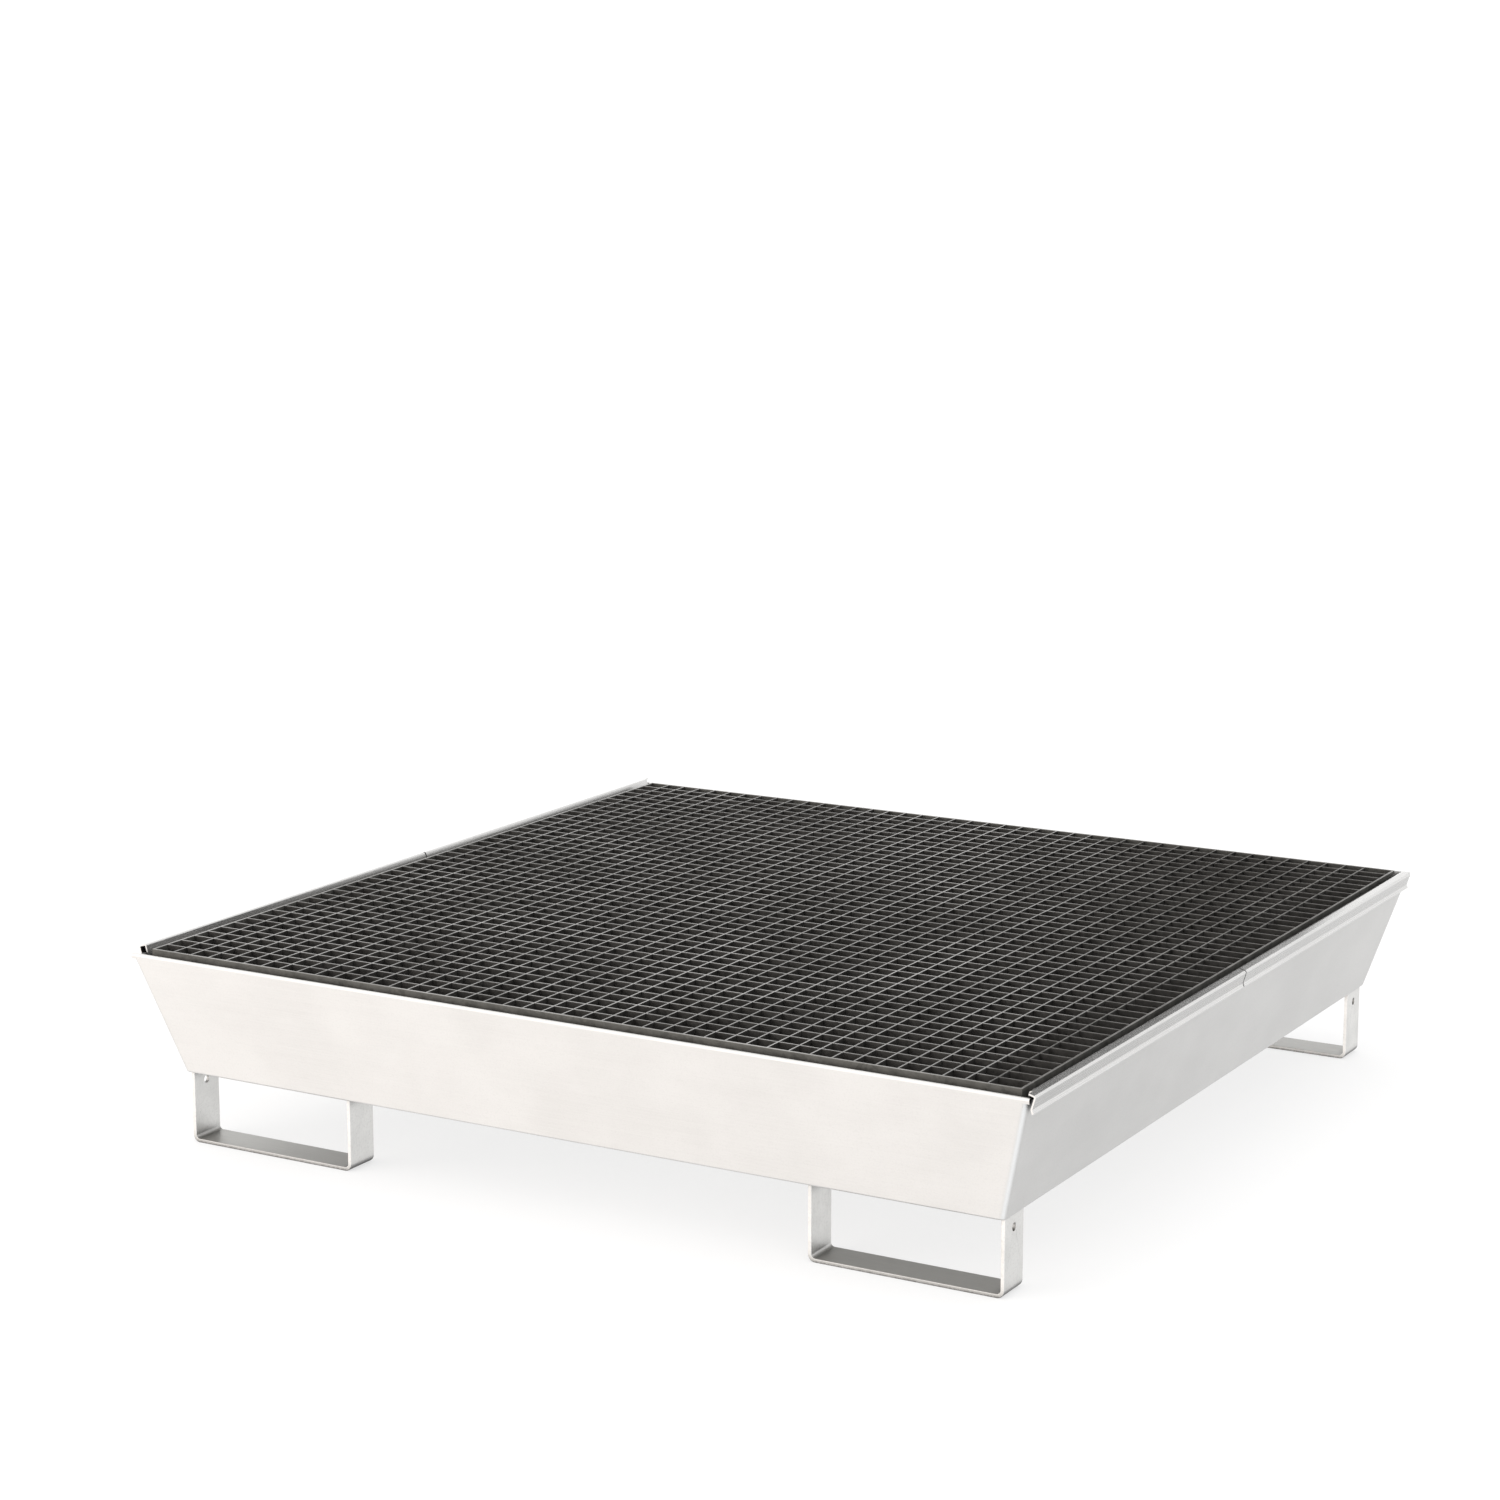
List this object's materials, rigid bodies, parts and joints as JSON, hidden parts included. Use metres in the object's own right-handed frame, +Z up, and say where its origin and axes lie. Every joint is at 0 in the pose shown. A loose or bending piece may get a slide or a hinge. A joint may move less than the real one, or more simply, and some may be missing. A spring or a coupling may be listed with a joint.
{
  "type": "spill containment pallet",
  "caption": "Folded steel sump tray on U-shaped feet, with a lift-out bar grating that drums stand on; the tray holds what leaks from them.",
  "frame": {"origin": "on the floor under the middle of the pallet", "axes": "+X to the right along the front wall, +Y from the front wall to the rear wall, +Z up"},
  "size_m": [1.3162, 1.2906, 0.2703],
  "materials": {
    "tray_sheet": "satin stainless sheet, fine grain along the walls",
    "foot_bar": "satin stainless flat bar",
    "galvanised_grating": "weathered hot-dip galvanised, dark dull grey, brighter on the worn top edges",
    "weld": "brushed weld bead"
  },
  "bodies": {
    "pallet": {"beam_welds": "weld", "centre_beam": "tray_sheet", "corner_weld_front_left": "weld", "corner_weld_front_right": "weld", "corner_weld_rear_left": "weld", "corner_weld_rear_right": "weld", "foot_front_left": "foot_bar", "foot_front_right": "foot_bar", "foot_rear_left": "foot_bar", "foot_rear_right": "foot_bar", "foot_weld_front_left": "weld", "foot_weld_front_right": "weld", "foot_weld_rear_left": "weld", "foot_weld_rear_right": "weld", "ledge_front": "tray_sheet", "ledge_left": "tray_sheet", "ledge_rear": "tray_sheet", "ledge_right": "tray_sheet", "ledge_welds": "weld", "rim_cap_front_left": "tray_sheet", "rim_cap_front_right": "tray_sheet", "rim_cap_rear_left": "tray_sheet", "rim_cap_rear_right": "tray_sheet", "tray": "tray_sheet"},
    "grating": {"bearing_bars": "galvanised_grating", "cross_bars": "galvanised_grating", "grating_edge_front": "galvanised_grating", "grating_edge_left": "galvanised_grating", "grating_edge_rear": "galvanised_grating", "grating_edge_right": "galvanised_grating"}
  },
  "joints": [
    {"name": "grating_lift", "type": "slide", "parent": "pallet", "child": "grating", "axis": [0, 0, 1], "range_m": [0, 0.15]}
  ]
}
